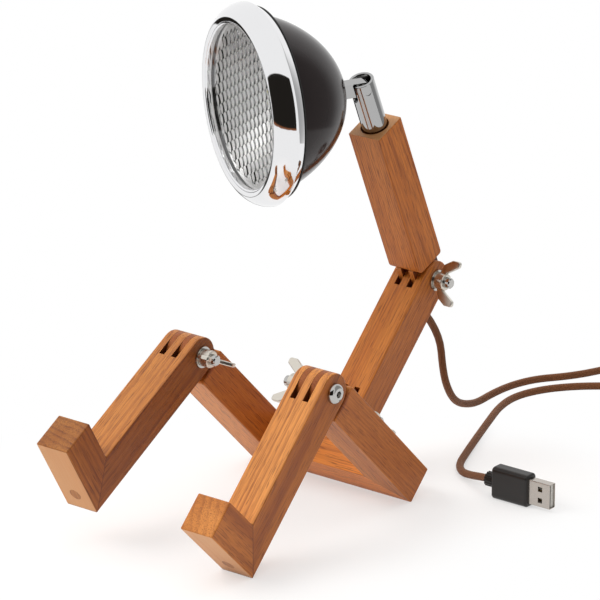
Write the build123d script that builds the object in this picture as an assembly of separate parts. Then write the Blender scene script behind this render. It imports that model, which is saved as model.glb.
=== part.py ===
from build123d import *
import os
from math import acos, asin, atan2, cos, degrees, hypot, pi, radians, sin, sqrt, tan

# Robot shaped desk lamp: a seated figure of square wooden bars on wing-nut finger joints, with a
# chrome post and a headlight for a head. Lengths in mm, angles in degrees.
# The figure faces -Y, its left is +X and Z is up. It is laid out from the pelvis edge that rests on
# the floor, at y = z = 0, and moved at the end to stand centred over the origin.

# Wooden bars
BAR = 18.0  # square section of every bar
THIGH_LENGTH = 90.0  # pelvis corner to knee pivot
THIGH_GAP = 58.0  # clear width between the thighs
SHIN_LENGTH = 90.0  # knee pivot to sole
FOOT_LENGTH = 40.0  # heel edge to toe
TORSO_LENGTH = 75.4  # hip pivot to neck pivot
NECK_LENGTH = 90.0  # neck pivot to the top of the block
EASE = 0.7  # rounding of the long edges
BLOCK_CHIN = 3.0  # rounding of the neck block's lower front edge
BLOCK_NAPE = 1.6  # rounding of the neck block's lower rear edge
THIGH_CORNER = 1.2  # rounding of a thigh's edges at the knee

# Finger joints
SLOT = 3.0
SLOT_PITCH = 7.0
FINGER_PLAY = 0.15  # each side of a finger in its slot
SHOULDER_PLAY = 0.8  # rounded end to the shoulder that it passes
SLOT_END_PLAY = 1.5  # finger tip to the bottom of its slot
TONGUE_BASE = 2.4  # least thickness of the hip block under its fingers
TENON = 8.0
TENON_LENGTH = 8.0
GLUE_LINE = 0.05

# Bolts, washers and wing nuts
BOLT = 5.0
PIN_PLAY = 0.05  # radial play of a pin or bolt in its hole
BOLT_HEAD = 9.5
BOLT_HEAD_HEIGHT = 2.75
BOLT_DOME = 2.2
BOLT_END = 0.5  # chamfer
SOCKET = 3.0  # across the flats
SOCKET_DEPTH = 1.7
BOLT_PROUD = 3.0  # bolt end beyond the wing nut's hub
WASHER = 10.0
WASHER_THICKNESS = 1.0
WASHER_PLAY = 0.15
NUT_PLAY = 0.1  # wing nut to washer
NUT_HUB = 8.0
NUT_HUB_HEIGHT = 5.0
WING_REACH = 10.8  # axis to wing tip
WING_HEIGHT = 10.9  # foot of the hub to wing tip
WING_THICKNESS = 2.0
WING_LOBE = 4.2  # height of the lobe's outer edge
WING_WAIST = 2.7  # width of the lobe's top
WING_ROUND = 1.2
WING_EDGE = 0.5
WING_PLAY = 1.4  # wing tip to the pelvis

# Glued mitres
DOWEL = 4.0
DOWEL_LENGTH = 14.0
SOLE_PLUG = 6.0
SOLE_PLUG_DEPTH = 2.5
SCREW = 3.0
SCREW_HEAD_HEIGHT = 2.0
SCREW_LENGTH = 28.0

# Posture
THIGH_RISE = 45.0  # thighs above the floor
RIGHT_SHIN_LEAN = 60.0  # from straight down, forward
NECK_LEAN = 23.55  # forward of upright
HEAD_SWIVEL = -29.5  # about the post
HEAD_TILT = 18.9  # above square to the post
KNEE_WING_ANGLES = (49.1, -24.8)  # wings of the left and the right knee nut, above +Y
NECK_WING_ANGLE = 70.7
HIP_WING_ANGLE = 135.0

# Post
POST = 12.0
POST_WALL = 1.4
POST_RISE = 26.3  # above the neck block
POST_SUNK = 30.0
POST_HOLE = 13.4
POST_END_PLAY = 0.3
POST_EDGE = 0.35
BUSH_RECESS = 3.0
BUSH_LENGTH = 24.0
CLIP_THICKNESS = 1.2
CLIP_GROOVE = 0.5
CLIP_DIAMETER = 12.8
CLIP_PLAY = 0.3
PIN = 3.0
PIN_DROP = 4.1  # below the post's top
PIN_END_RECESS = 0.3
NOTCH_WIDTH = 7.0
NOTCH_DEPTH = 9.7
SPACER = 4.4
SPACER_PLAY = 0.15

# Head, measured along its own axis from the tilt pin
BLADE_WIDTH = 5.0
BLADE_HEIGHT = 7.0
BOWL_POLE = 11.4
BOWL_DEPTH = 58.8  # semi-axis of the bowl's ellipse along the head's axis
BOWL_RADIUS = 44.25  # semi-axis of the bowl's ellipse across it
BOWL_WALL = 1.6
BOWL_PAD = 5.5  # radius of the flat at the pole
SEAM = 36.4  # pole to the bezel's rear edge
SEAM_TO_RIM = 6.2
BEZEL_OVERHANG = 2.45  # how far the widest ring stands out over BOWL_RADIUS
BEZEL_RIDGE = 4.2  # rear edge to the widest ring
BEZEL_REAR_BAND = 2.9  # how far the ridge stands out over the rear edge
BEZEL_FRONT = 10.0  # ridge to the foremost ring
BEZEL_TURN_IN = 5.7  # widest ring in to the foremost one
LIP_TURN_IN = 3.1  # foremost ring in to the lip's edge
LIP_WIDTH = 0.8
LIP_GROOVE = 1.2
LIP_SET_BACK = 1.1
BEZEL_PLAY = 0.3
FLANGE_RADIUS = 4.6
FLANGE_THICKNESS = 1.4
STUD = 4.0
STUD_PROUD = 1.0
STUD_NUT = 7.0  # across the flats
STUD_NUT_HEIGHT = 3.2
STUD_WASHER = 9.0
STUD_WASHER_THICKNESS = 0.8
LENS_THICKNESS = 2.4
GASKET_THICKNESS = 1.2
GASKET_WIDTH = 3.0
REFLECTOR_WALL = 1.0
REFLECTOR_DEPTH = 25.0
REFLECTOR_FLANGE = 3.34
REFLECTOR_THROAT = 9.0
LED_BOARD_RADIUS = 12.0
LED_BOARD_THICKNESS = 1.6
LED_RADIUS = 5.0
LED_THICKNESS = 1.0
SINK_RADIUS = 13.0
SINK_BASE = 2.4
FIN_LENGTH = 5.0
FIN_THICKNESS = 1.2
FIN_PITCH = 3.6
DRIVER_RADIUS = 12.0
DRIVER_BORE = 6.0
DRIVER_THICKNESS = 1.6
CHOKE = 4.0
CHOKE_HEIGHT = 2.4

# Cord
CORD = 3.6
CORNER_SHARE = 0.45  # part of a run that a corner's arc may use
GLAND_X = 4.4
GLAND_DROP = 13.4  # below the neck pivot, along the torso
GLAND = 5.0
GLAND_LENGTH = 5.0
GLAND_FLANGE = 7.4
GLAND_FLANGE_THICKNESS = 0.8
CORD_RUN_OUT = 22.5  # straight run from the gland's inner end
LEAD = 1.2
LEAD_PLAY = 0.3
COIL_CENTRE = (54.0, 214.0)
COIL_MEAN_RADIUS = 20.0
COIL_TURNS_PER_LAYER = 4.3
COIL_LAYERS = 2
COIL_ROUND = 1.2
TIE_THICKNESS = 0.6
TIE_WIDTH = 6.0
TIE_PLAY = 0.05
TIE_ANGLE = 40.0
PRESSED_IN = 1.5  # cord inside the plug's collar

# USB plug, lying on a narrow side and pointing to +X
PLUG_START = (68.2, 30.5)
COLLAR = 7.0
COLLAR_LENGTH = 4.5
COLLAR_FLUTES = 14
COLLAR_FLUTE = 0.8
MOULD_WIDTH = 15.5
MOULD_THICKNESS = 8.0
MOULD_LENGTH = 19.8
MOULD_ROUND = 2.2
MOULD_END_ROUND = 1.0
USB_WIDTH = 12.0
USB_THICKNESS = 4.5
USB_LENGTH = 11.8
USB_WALL = 0.3
USB_ROUND = 0.5
USB_SEAT = 3.0
USB_WINDOW = 2.4
USB_WINDOW_PITCH = 5.4
USB_WINDOW_BACK = 5.2  # mouth to the middle of the windows
TONGUE_THICKNESS = 1.9
TONGUE_SET_BACK = 0.8
CONTACT_PLACES = (-3.5, -1.0, 1.0, 3.5)
CONTACT_WIDTH = 1.0
CONTACT_LENGTH = 7.5
CONTACT_THICKNESS = 0.15

# Worked out from the sizes above
HALF = BAR / 2
OVERLAP = 1.0  # how far tools run past what they cut, and fused forms into each other
FINGER = SLOT - 2 * FINGER_PLAY
SHOULDER = HALF + SHOULDER_PLAY
BOLT_RADIUS = BOLT / 2
BOLT_HOLE = BOLT_RADIUS + PIN_PLAY
HIP_RISE = max(SHOULDER + TONGUE_BASE, WING_REACH + WING_PLAY)
THIGH_X = (THIGH_GAP + BAR) / 2
OUTER_X = THIGH_GAP / 2 + BAR
HUGE = 4 * (THIGH_LENGTH + TORSO_LENGTH + NECK_LENGTH)

AHEAD_UP = Vector(0, -cos(radians(THIGH_RISE)), sin(radians(THIGH_RISE)))  # along the thighs
BACK_UP = Vector(0, sin(radians(THIGH_RISE)), cos(radians(THIGH_RISE)))  # along the torso
NECK_UP = Vector(0, -sin(radians(NECK_LEAN)), cos(radians(NECK_LEAN)))

PELVIS = AHEAD_UP * HALF + BACK_UP * HALF
KNEE = AHEAD_UP * THIGH_LENGTH + BACK_UP * HALF
HIP = PELVIS + BACK_UP * (HALF + HIP_RISE)
NECK = HIP + BACK_UP * TORSO_LENGTH
BLOCK_TOP = NECK + NECK_UP * NECK_LENGTH
PIN_CENTRE = BLOCK_TOP + NECK_UP * (POST_RISE - PIN_DROP)

# The left heel rests on the floor, so the left shin's lean follows from the lengths
HEEL_REACH = hypot(SHIN_LENGTH, HALF)
LEFT_SHIN_LEAN = degrees(atan2(HALF, SHIN_LENGTH) + acos(KNEE.Z / HEEL_REACH))
# Each leg's side of the figure, its shin's lean and the angle of its knee's wing nut
SIDES = {
    "left": (1, LEFT_SHIN_LEAN, KNEE_WING_ANGLES[0]),
    "right": (-1, RIGHT_SHIN_LEAN, KNEE_WING_ANGLES[1]),
}

nodes = {}
cord_nodes = {}


# Frames: local Z runs along the bar or axis, local X stays across the figure

def along(origin, direction, x=0.0):
    """Frame at a pivot, with Z along a bar and X across the figure."""
    return Plane(origin=Vector(x, origin.Y, origin.Z), x_dir=(1, 0, 0), z_dir=direction)


def across(pivot, face_x, outward, angle=0.0):
    """Frame on the face of a joint at face_x, with Z to +X or -X and X at an angle above +Y."""
    lean = radians(angle)
    return Plane(origin=(face_x, pivot.Y, pivot.Z), x_dir=(0, cos(lean), sin(lean)), z_dir=(outward, 0, 0))


def shin_direction(lean):
    return Vector(0, -sin(radians(lean)), -cos(radians(lean)))


def side_of(plane):
    """Everything on the Z side of a plane."""
    return plane.location * Pos(0, 0, HUGE / 2) * Box(HUGE, HUGE, HUGE)


def place(name, solid, frame, group=nodes):
    solid = frame.location * solid
    solid.label = name
    group[name] = solid


# Wood

def bar_blank(bottom, top, rounded=(), corners=()):
    """Square bar along Z, eased all round, with rounded ends about the pivots named.

    corners rounds the lower end's two edges across the bar, the one at -Y first.
    """
    outline = Pos(0, (bottom + top) / 2) * Rectangle(BAR, top - bottom)
    for pivot in rounded:
        outline += Pos(0, pivot) * Circle(HALF)
    for way, radius in zip((0, -1), corners):
        corner = outline.vertices().group_by(Axis.Y)[0].sort_by(Axis.X)[way]
        outline = fillet(corner, radius)
    blank = extrude(Plane.YZ * outline, amount=HALF, both=True)
    return fillet(blank.faces().filter_by(Axis.X).edges(), EASE)


def cross_hole(radius, z=0.0):
    return Pos(0, 0, z) * Rot(0, 90, 0) * Cylinder(radius, OUTER_X)


def slots(pivot, to_end):
    """Cutters of the two slots at a rounded end; to_end is +1 or -1 along Z."""
    depth = HALF + SLOT_END_PLAY
    length = depth + HALF + OVERLAP
    middle = pivot + to_end * (length / 2 - depth)
    return [Pos(x, 0, middle) * Box(SLOT, BAR + OVERLAP, length) for x in (-SLOT_PITCH / 2, SLOT_PITCH / 2)]


def fingers():
    """Two rounded fingers about the pivot at the origin, rooted past the shoulder."""
    root = SHOULDER + OVERLAP
    outline = Circle(HALF) + Pos(0, root / 2) * Rectangle(BAR, root)
    finger = extrude(Plane.YZ * outline, amount=FINGER / 2, both=True)
    return [Pos(x, 0, 0) * finger for x in (-SLOT_PITCH / 2, SLOT_PITCH / 2)]


def gland_place():
    """Height of the gland along the torso bar."""
    return TORSO_LENGTH - GLAND_DROP


def torso_bar():
    bar = bar_blank(0, TORSO_LENGTH, rounded=(0, TORSO_LENGTH))
    bar -= slots(0, -1)
    bar -= slots(TORSO_LENGTH, 1)
    bar -= cross_hole(BOLT_HOLE)
    bar -= cross_hole(BOLT_HOLE, TORSO_LENGTH)
    gland_hole = Rot(90, 0, 0) * Cylinder(GLAND / 2, GLAND_LENGTH)
    bar -= Pos(GLAND_X, HALF - GLAND_LENGTH / 2, gland_place()) * gland_hole
    return bar - lead_elbow(LEAD / 2 + LEAD_PLAY)


def lead_elbow(radius):
    """The lead's way from the gland to the middle of the bar and up into the slot."""
    inward = HALF - GLAND_LENGTH
    rise = TORSO_LENGTH - HALF - SLOT_END_PLAY - gland_place()
    elbow = Pos(0, inward / 2, 0) * Rot(90, 0, 0) * Cylinder(radius, inward)
    elbow += Sphere(radius) + Pos(0, 0, rise / 2) * Cylinder(radius, rise)
    return Pos(GLAND_X, 0, gland_place()) * elbow


def neck_block():
    block = bar_blank(SHOULDER, NECK_LENGTH, corners=(BLOCK_CHIN, BLOCK_NAPE))
    block += fingers()
    block -= cross_hole(BOLT_HOLE)
    depth = POST_SUNK + POST_END_PLAY
    block -= Pos(0, 0, NECK_LENGTH - depth / 2) * Cylinder(POST_HOLE / 2, depth)
    return block - neck_lead(LEAD / 2 + LEAD_PLAY)


def neck_lead(radius):
    bottom, top = SHOULDER, NECK_LENGTH - POST_SUNK - POST_END_PLAY
    return Pos(0, 0, (bottom + top) / 2) * Cylinder(radius, top - bottom)


def hip_tongue():
    block = Pos(0, 0, (SHOULDER + HIP_RISE) / 2) * Box(BAR, BAR, HIP_RISE - SHOULDER)
    block += fingers()
    block += Pos(0, 0, HIP_RISE + TENON_LENGTH / 2) * Box(TENON, TENON, TENON_LENGTH)
    return block - cross_hole(BOLT_HOLE)


def pelvis_mitre(side, toward_pelvis):
    """Mitre plane between the pelvis and a thigh, in the pelvis frame; Y runs out of the lap."""
    way = 1 if toward_pelvis else -1
    return Plane(origin=(side * THIGH_X, 0, 0), z_dir=(-side * way, way, 0))


def pelvis_bar():
    blank = Box(2 * OUTER_X + BAR, BAR, BAR)
    bar = fillet(blank.edges().filter_by(Axis.X), EASE)
    for side in (1, -1):
        bar &= side_of(pelvis_mitre(side, True))
        bar -= dowel(side, PIN_PLAY)
    mortise = TENON + 2 * GLUE_LINE
    depth = TENON_LENGTH + GLUE_LINE
    return bar - Pos(0, 0, HALF - depth / 2) * Box(mortise, mortise, depth)


def dowel(side, play=0.0):
    plane = pelvis_mitre(side, True)
    return plane.location * Cylinder(DOWEL / 2 + play, DOWEL_LENGTH + 2 * play)


def thigh(side):
    """Thigh in the frame of its knee pivot, with Z toward the pelvis and -Y on top."""
    bar = bar_blank(SHOULDER, THIGH_LENGTH + BAR, corners=(THIGH_CORNER, THIGH_CORNER))
    bar += fingers()
    bar -= cross_hole(BOLT_HOLE)
    to_pelvis = Pos(-side * THIGH_X, 0, THIGH_LENGTH - HALF) * Rot(90, 0, 0)
    bar &= to_pelvis * side_of(pelvis_mitre(side, False))
    return bar - to_pelvis * dowel(side, PIN_PLAY)


def heel_mitre(way):
    return Plane(origin=(0, 0, SHIN_LENGTH - HALF), z_dir=(0, way, way))


def heel_screw_hole():
    counterbore = SOLE_PLUG_DEPTH + SCREW_HEAD_HEIGHT
    hole = Pos(0, 0, SHIN_LENGTH - counterbore / 2) * Cylinder(SOLE_PLUG / 2 + PIN_PLAY, counterbore)
    shank = SCREW_LENGTH + PIN_PLAY
    return hole + Pos(0, 0, SHIN_LENGTH - counterbore - shank / 2) * Cylinder(SCREW / 2 + PIN_PLAY, shank)


def shin():
    bar = bar_blank(0, SHIN_LENGTH + BAR, rounded=(0,))
    bar -= slots(0, -1)
    bar -= cross_hole(BOLT_HOLE)
    bar &= side_of(heel_mitre(-1))
    return bar - heel_screw_hole()


def foot():
    """Foot in the shin's frame: it runs forward, along +Y, from the mitre at the heel."""
    length = FOOT_LENGTH + BAR
    toe = FOOT_LENGTH - HALF
    bar = Pos(0, toe - length / 2, SHIN_LENGTH - HALF) * Box(BAR, length, BAR)
    bar = fillet(bar.edges().filter_by(Axis.Y) + bar.faces().sort_by(Axis.Y)[-1].edges(), EASE)
    bar &= side_of(heel_mitre(1))
    return bar - heel_screw_hole()


def heel_screw():
    head_top = SHIN_LENGTH - SOLE_PLUG_DEPTH
    head = Pos(0, 0, head_top - SCREW_HEAD_HEIGHT / 2) * Cylinder(SOLE_PLUG / 2, SCREW_HEAD_HEIGHT)
    middle = head_top - SCREW_HEAD_HEIGHT - SCREW_LENGTH / 2
    return head + Pos(0, 0, middle) * Cylinder(SCREW / 2, SCREW_LENGTH)


def sole_plug():
    return Pos(0, 0, SHIN_LENGTH - SOLE_PLUG_DEPTH / 2) * Cylinder(SOLE_PLUG / 2, SOLE_PLUG_DEPTH)


# Bolts, washers and wing nuts: Z points from the head to the nut

def bolt():
    head = Pos(0, 0, -BOLT_HEAD_HEIGHT / 2) * Cylinder(BOLT_HEAD / 2, BOLT_HEAD_HEIGHT)
    head = fillet(head.edges().sort_by(Axis.Z)[0], BOLT_DOME)
    socket = extrude(RegularPolygon(SOCKET / sqrt(3), 6), SOCKET_DEPTH)
    head -= Pos(0, 0, -BOLT_HEAD_HEIGHT) * socket
    length = BAR + WASHER_THICKNESS + NUT_PLAY + NUT_HUB_HEIGHT + BOLT_PROUD
    shank = Pos(0, 0, length / 2) * Cylinder(BOLT_RADIUS, length)
    return head + chamfer(shank.edges().sort_by(Axis.Z)[-1], BOLT_END)


def ring(outer, bore, thickness, z=0.0):
    """Flat ring of outer and bore radius that stands on z."""
    return Pos(0, 0, z + thickness / 2) * (Cylinder(outer, thickness) - Cylinder(bore, thickness))


def washer():
    return ring(WASHER / 2, BOLT_RADIUS + WASHER_PLAY, WASHER_THICKNESS)


def wing_nut():
    base = WASHER_THICKNESS + NUT_PLAY
    root = NUT_HUB / 2 - OVERLAP
    neck = NUT_HUB_HEIGHT - WING_EDGE
    outline = Polyline(
        (root, WING_EDGE), (WING_REACH - WING_WAIST, WING_EDGE + WING_THICKNESS),
        (WING_REACH, WING_HEIGHT - WING_LOBE), (WING_REACH, WING_HEIGHT),
        (WING_REACH - WING_WAIST, WING_HEIGHT), (NUT_HUB / 2, neck), (root, neck), close=True)
    lobe = make_face(outline)
    lobe = fillet([v for v in lobe.vertices() if v.X > NUT_HUB / 2 + PIN_PLAY], WING_ROUND)
    wing = extrude(Plane.XZ * lobe, amount=WING_THICKNESS / 2, both=True)
    wing = fillet(wing.faces().filter_by(Axis.Y).edges(), WING_EDGE)
    nut = Pos(0, 0, NUT_HUB_HEIGHT / 2) * Cylinder(NUT_HUB / 2, NUT_HUB_HEIGHT)
    nut = fillet(nut.edges().sort_by(Axis.Z)[-1], WING_EDGE)
    nut += [wing, Rot(0, 0, 180) * wing]
    return Pos(0, 0, base) * (nut - Cylinder(BOLT_HOLE, 2 * WING_HEIGHT))


# Post: Z up the tube from the top of the neck block, X along the tilt pin, -Y toward the head

def post_tube():
    bottom, top = -POST_SUNK, POST_RISE
    tube = Pos(0, 0, (bottom + top) / 2) * Cylinder(POST / 2, top - bottom)
    tube -= Pos(0, 0, (bottom + top) / 2) * Cylinder(POST / 2 - POST_WALL, top - bottom)
    rims = tube.faces().sort_by(Axis.Z)[-1].edges()
    tube = fillet(rims, POST_EDGE)
    radius = NOTCH_WIDTH / 2
    deep = Pos(0, top - NOTCH_DEPTH + radius) * Circle(radius)
    mouth = Pos(0, top - (NOTCH_DEPTH - radius) / 2 + OVERLAP) * Rectangle(
        NOTCH_WIDTH, NOTCH_DEPTH - radius + 2 * OVERLAP)
    tube -= extrude(Plane.XZ * (deep + mouth), POST)
    tube -= Pos(0, 0, top - PIN_DROP) * Rot(0, 90, 0) * Cylinder(PIN / 2 + PIN_PLAY, POST)
    groove = CLIP_THICKNESS + 2 * PIN_PLAY
    return tube - ring(POST, POST / 2 - CLIP_GROOVE, groove, clip_bottom() - PIN_PLAY)


def clip_bottom():
    return -BUSH_RECESS - BUSH_LENGTH - CLIP_PLAY - CLIP_THICKNESS


def post_clip():
    """Open snap ring under the bush, which keeps the post in its hole."""
    clip = ring(CLIP_DIAMETER / 2, POST / 2 - CLIP_GROOVE + PIN_PLAY, CLIP_THICKNESS, clip_bottom())
    return clip - Pos(0, POST / 2, clip_bottom()) * Box(PIN, POST, 2 * POST_HOLE)


def post_bush():
    return ring(POST_HOLE / 2, POST / 2 + PIN_PLAY, BUSH_LENGTH, -BUSH_RECESS - BUSH_LENGTH)


def tilt_pin():
    return Pos(0, 0, POST_RISE - PIN_DROP) * Rot(0, 90, 0) * Cylinder(PIN / 2, POST - 2 * PIN_END_RECESS)


def tilt_spacers():
    """A washer on the pin at each side of the blade."""
    inside = sqrt((POST / 2 - POST_WALL) ** 2 - (SPACER / 2) ** 2)
    thickness = inside - BLADE_WIDTH / 2 - 2 * SPACER_PLAY
    spacer = ring(SPACER / 2, PIN / 2 + PIN_PLAY, thickness, BLADE_WIDTH / 2 + SPACER_PLAY)
    lift = Pos(0, 0, POST_RISE - PIN_DROP)
    return Compound(children=[lift * Rot(0, way * 90, 0) * spacer for way in (1, -1)])


# Head: Z forward along the head's axis from the tilt pin, X along the pin, Y up

BOWL_CENTRE = BOWL_POLE + BOWL_DEPTH
SEAM_Z = BOWL_POLE + SEAM
RIM_Z = SEAM_Z + SEAM_TO_RIM
LENS_BACK = RIM_Z + REFLECTOR_WALL + GASKET_THICKNESS
LENS_FRONT = LENS_BACK + LENS_THICKNESS
BEZEL_RADIUS = BOWL_RADIUS + BEZEL_OVERHANG
BEZEL_FRONT_RADIUS = BEZEL_RADIUS - BEZEL_TURN_IN
LIP_RADIUS = BEZEL_FRONT_RADIUS - LIP_TURN_IN


def bowl_radius(z, wall=0.0):
    return (BOWL_RADIUS - wall) * sqrt(1 - ((BOWL_CENTRE - z) / (BOWL_DEPTH - wall)) ** 2)


def pad_z(wall=0.0):
    """Where the flat at the pole lies, outside or inside the wall."""
    return BOWL_CENTRE - (BOWL_DEPTH - wall) * sqrt(1 - (BOWL_PAD / (BOWL_RADIUS - wall)) ** 2)


def turned(outline):
    """Solid of revolution of an outline in radius and height."""
    return revolve(Plane.XZ * outline, Axis.Z)


def ellipse_slice(wall):
    bottom = pad_z(wall)
    window = Pos(BOWL_RADIUS / 2, (bottom + RIM_Z) / 2) * Rectangle(BOWL_RADIUS, RIM_Z - bottom)
    return window & Pos(0, BOWL_CENTRE) * Ellipse(BOWL_RADIUS - wall, BOWL_DEPTH - wall)


def bowl():
    shell = turned(ellipse_slice(0.0)) - turned(ellipse_slice(BOWL_WALL))
    return shell - Pos(0, 0, BOWL_POLE) * Cylinder(STUD / 2 + PIN_PLAY, 2 * BOWL_PAD)


def bezel():
    seam_radius = bowl_radius(SEAM_Z) + BEZEL_PLAY
    cavity = bowl_radius(RIM_Z) + BEZEL_PLAY
    ridge_z = SEAM_Z + BEZEL_RIDGE
    front_z = ridge_z + BEZEL_FRONT
    drop = BEZEL_RADIUS - BEZEL_FRONT_RADIUS
    band_radius = (BEZEL_FRONT**2 + drop**2) / (2 * drop)
    half_turn = asin(BEZEL_FRONT / band_radius) / 2
    mid = (BEZEL_RADIUS - band_radius * (1 - cos(half_turn)), ridge_z + band_radius * sin(half_turn))
    ridge = (BEZEL_RADIUS, ridge_z)
    front = (BEZEL_FRONT_RADIUS, front_z)
    groove = (LIP_RADIUS + LIP_WIDTH + LIP_GROOVE / 2, front_z - LIP_SET_BACK - LIP_WIDTH / 2)
    rear = (BEZEL_RADIUS - BEZEL_REAR_BAND, SEAM_Z)
    outside = Polyline((cavity, RIM_Z), (seam_radius, SEAM_Z), rear, ridge)
    band = ThreePointArc(ridge, mid, front)
    inside = Polyline(
        front, groove, (LIP_RADIUS + LIP_WIDTH, front_z - LIP_SET_BACK / 2),
        (LIP_RADIUS, front_z - LIP_SET_BACK), (LIP_RADIUS, LENS_FRONT), (cavity, LENS_FRONT), (cavity, RIM_Z))
    return turned(make_face(outside.edges() + band.edges() + inside.edges()))


def lens():
    return disc(bowl_radius(RIM_Z), LENS_THICKNESS, LENS_BACK)


def lens_gasket():
    outer = bowl_radius(RIM_Z)
    return ring(outer, outer - GASKET_WIDTH, GASKET_THICKNESS, LENS_BACK - GASKET_THICKNESS)


def parabola(inner, bottom, outer, top):
    """Arc of a parabola about the axis, from a small radius to a large one."""
    steepness = (outer**2 - inner**2) / (top - bottom)
    control = ((inner + outer) / 2, bottom + (inner * outer - inner**2) / steepness)
    return Bezier((inner, bottom), control, (outer, top))


def reflector():
    throat_z, front = RIM_Z - REFLECTOR_DEPTH, RIM_Z + REFLECTOR_WALL
    outer = bowl_radius(RIM_Z)
    mouth = outer - REFLECTOR_FLANGE
    throat, back_mouth = REFLECTOR_THROAT + REFLECTOR_WALL, mouth + REFLECTOR_WALL
    mirror_side = parabola(REFLECTOR_THROAT, throat_z, mouth, front)
    back_side = parabola(throat, throat_z, back_mouth, RIM_Z)
    rim = Polyline((mouth, front), (outer, front), (outer, RIM_Z), (back_mouth, RIM_Z))
    end = Line((throat, throat_z), (REFLECTOR_THROAT, throat_z))
    return turned(make_face(mirror_side.edges() + rim.edges() + back_side.edges() + end.edges()))


def led_board():
    return disc(LED_BOARD_RADIUS, LED_BOARD_THICKNESS, RIM_Z - REFLECTOR_DEPTH - LED_BOARD_THICKNESS)


def disc(radius, thickness, z):
    return Pos(0, 0, z + thickness / 2) * Cylinder(radius, thickness)


def led_chip():
    return disc(LED_RADIUS, LED_THICKNESS, RIM_Z - REFLECTOR_DEPTH)


def sink_back():
    return RIM_Z - REFLECTOR_DEPTH - LED_BOARD_THICKNESS - SINK_BASE


def heat_sink():
    sink = disc(SINK_RADIUS, SINK_BASE, sink_back())
    count = int(SINK_RADIUS / FIN_PITCH)
    plates = [Pos(i * FIN_PITCH, 0, 0) * Box(FIN_THICKNESS, 2 * SINK_RADIUS, 2 * FIN_LENGTH)
              for i in range(-count, count + 1)]
    fins = disc(SINK_RADIUS, FIN_LENGTH, -FIN_LENGTH) & Compound(children=plates)
    return sink + Pos(0, 0, sink_back()) * fins


def driver_board():
    back = sink_back() - FIN_LENGTH - DRIVER_THICKNESS
    board = ring(DRIVER_RADIUS, DRIVER_BORE, DRIVER_THICKNESS, back)
    place_out = (DRIVER_RADIUS + DRIVER_BORE) / 2
    chokes = [Pos(place_out, 0, 0), Pos(-place_out, 0, 0), Pos(0, place_out, 0)]
    choke = Pos(0, 0, back - CHOKE_HEIGHT / 2) * Box(CHOKE, CHOKE, CHOKE_HEIGHT + PIN_PLAY)
    return board + [spot * choke for spot in chokes]


def head_bracket():
    reach = pad_z()
    outline = Circle(BLADE_HEIGHT / 2) + Pos(0, reach / 2) * Rectangle(BLADE_HEIGHT, reach)
    bracket = extrude(Plane.YZ * outline, amount=BLADE_WIDTH / 2, both=True)
    bracket += disc(FLANGE_RADIUS, FLANGE_THICKNESS, reach - FLANGE_THICKNESS)
    stud = nut_back() + STUD_NUT_HEIGHT + STUD_PROUD - reach
    bracket += disc(STUD / 2, stud + OVERLAP, reach - OVERLAP)
    return bracket - cross_hole(PIN / 2 + PIN_PLAY)


def nut_back():
    return pad_z(BOWL_WALL) + STUD_WASHER_THICKNESS


def bracket_washer():
    return ring(STUD_WASHER / 2, STUD / 2 + PIN_PLAY, STUD_WASHER_THICKNESS, pad_z(BOWL_WALL))


def bracket_nut():
    hexagon = RegularPolygon(STUD_NUT / sqrt(3), 6) - Circle(STUD / 2 + PIN_PLAY)
    return Pos(0, 0, nut_back()) * extrude(hexagon, STUD_NUT_HEIGHT)


# Cord and plug

def cord_gland():
    bush = Pos(0, HALF - GLAND_LENGTH / 2, 0) * Rot(90, 0, 0) * Cylinder(GLAND / 2, GLAND_LENGTH)
    flange = GLAND_FLANGE_THICKNESS
    bush += Pos(0, HALF + flange / 2, 0) * Rot(90, 0, 0) * Cylinder(GLAND_FLANGE / 2, flange)
    bush -= Rot(90, 0, 0) * Cylinder(CORD / 2 + PIN_PLAY, 2 * BAR)
    return Pos(GLAND_X, 0, gland_place()) * bush


BACK_DOWN = Vector(0, BACK_UP.Z, -BACK_UP.Y)  # out of the torso's back
CORD_START = NECK - BACK_UP * GLAND_DROP + BACK_DOWN * (HALF - GLAND_LENGTH) + Vector(GLAND_X, 0, 0)
FLOOR = CORD / 2
COIL_FLOOR = CORD / 2 + TIE_THICKNESS
COIL_TOP = COIL_FLOOR + (COIL_LAYERS - 1) * CORD
COIL_OUTER = COIL_MEAN_RADIUS + COIL_TURNS_PER_LAYER * CORD / 2
COIL_INNER = COIL_MEAN_RADIUS - COIL_TURNS_PER_LAYER * CORD / 2

# From the gland down the back and over the floor, out to the coil
OUTWARD = [
    CORD_START,
    CORD_START + BACK_DOWN * CORD_RUN_OUT,
    (5.9, 78.8, 30.6),
    (5.2, 84.8, 19.0),
    (2.4, 94.5, 10.8),
    (-0.8, 106.5, 5.4),
    (-3.6, 119.5, FLOOR),
    (-5.2, 133.5, FLOOR),
    (-5.0, 148.5, FLOOR),
    (-0.8, 163.5, FLOOR),
    (9.5, 176.5, FLOOR),
    (17.0, 192.0, FLOOR),
]
# From the coil back to the plug
HOMEWARD = [
    (48.5, 183.5, 3.2),
    (31.5, 177.0, FLOOR),
    (19.5, 166.5, FLOOR),
    (10.2, 153.5, FLOOR),
    (5.6, 138.0, FLOOR),
    (8.0, 122.0, FLOOR),
    (15.3, 103.5, FLOOR),
    (24.2, 81.5, FLOOR),
    (32.5, 61.5, FLOOR),
    (38.5, 48.0, FLOOR),
    (46.0, 40.3, 2.2),
    (54.0, 36.8, 3.8),
    (62.5, 33.2, 6.2),
]
PLUG_Z = MOULD_WIDTH / 2
HOMEWARD.append((PLUG_START[0] + PRESSED_IN, PLUG_START[1], PLUG_Z))


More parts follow.
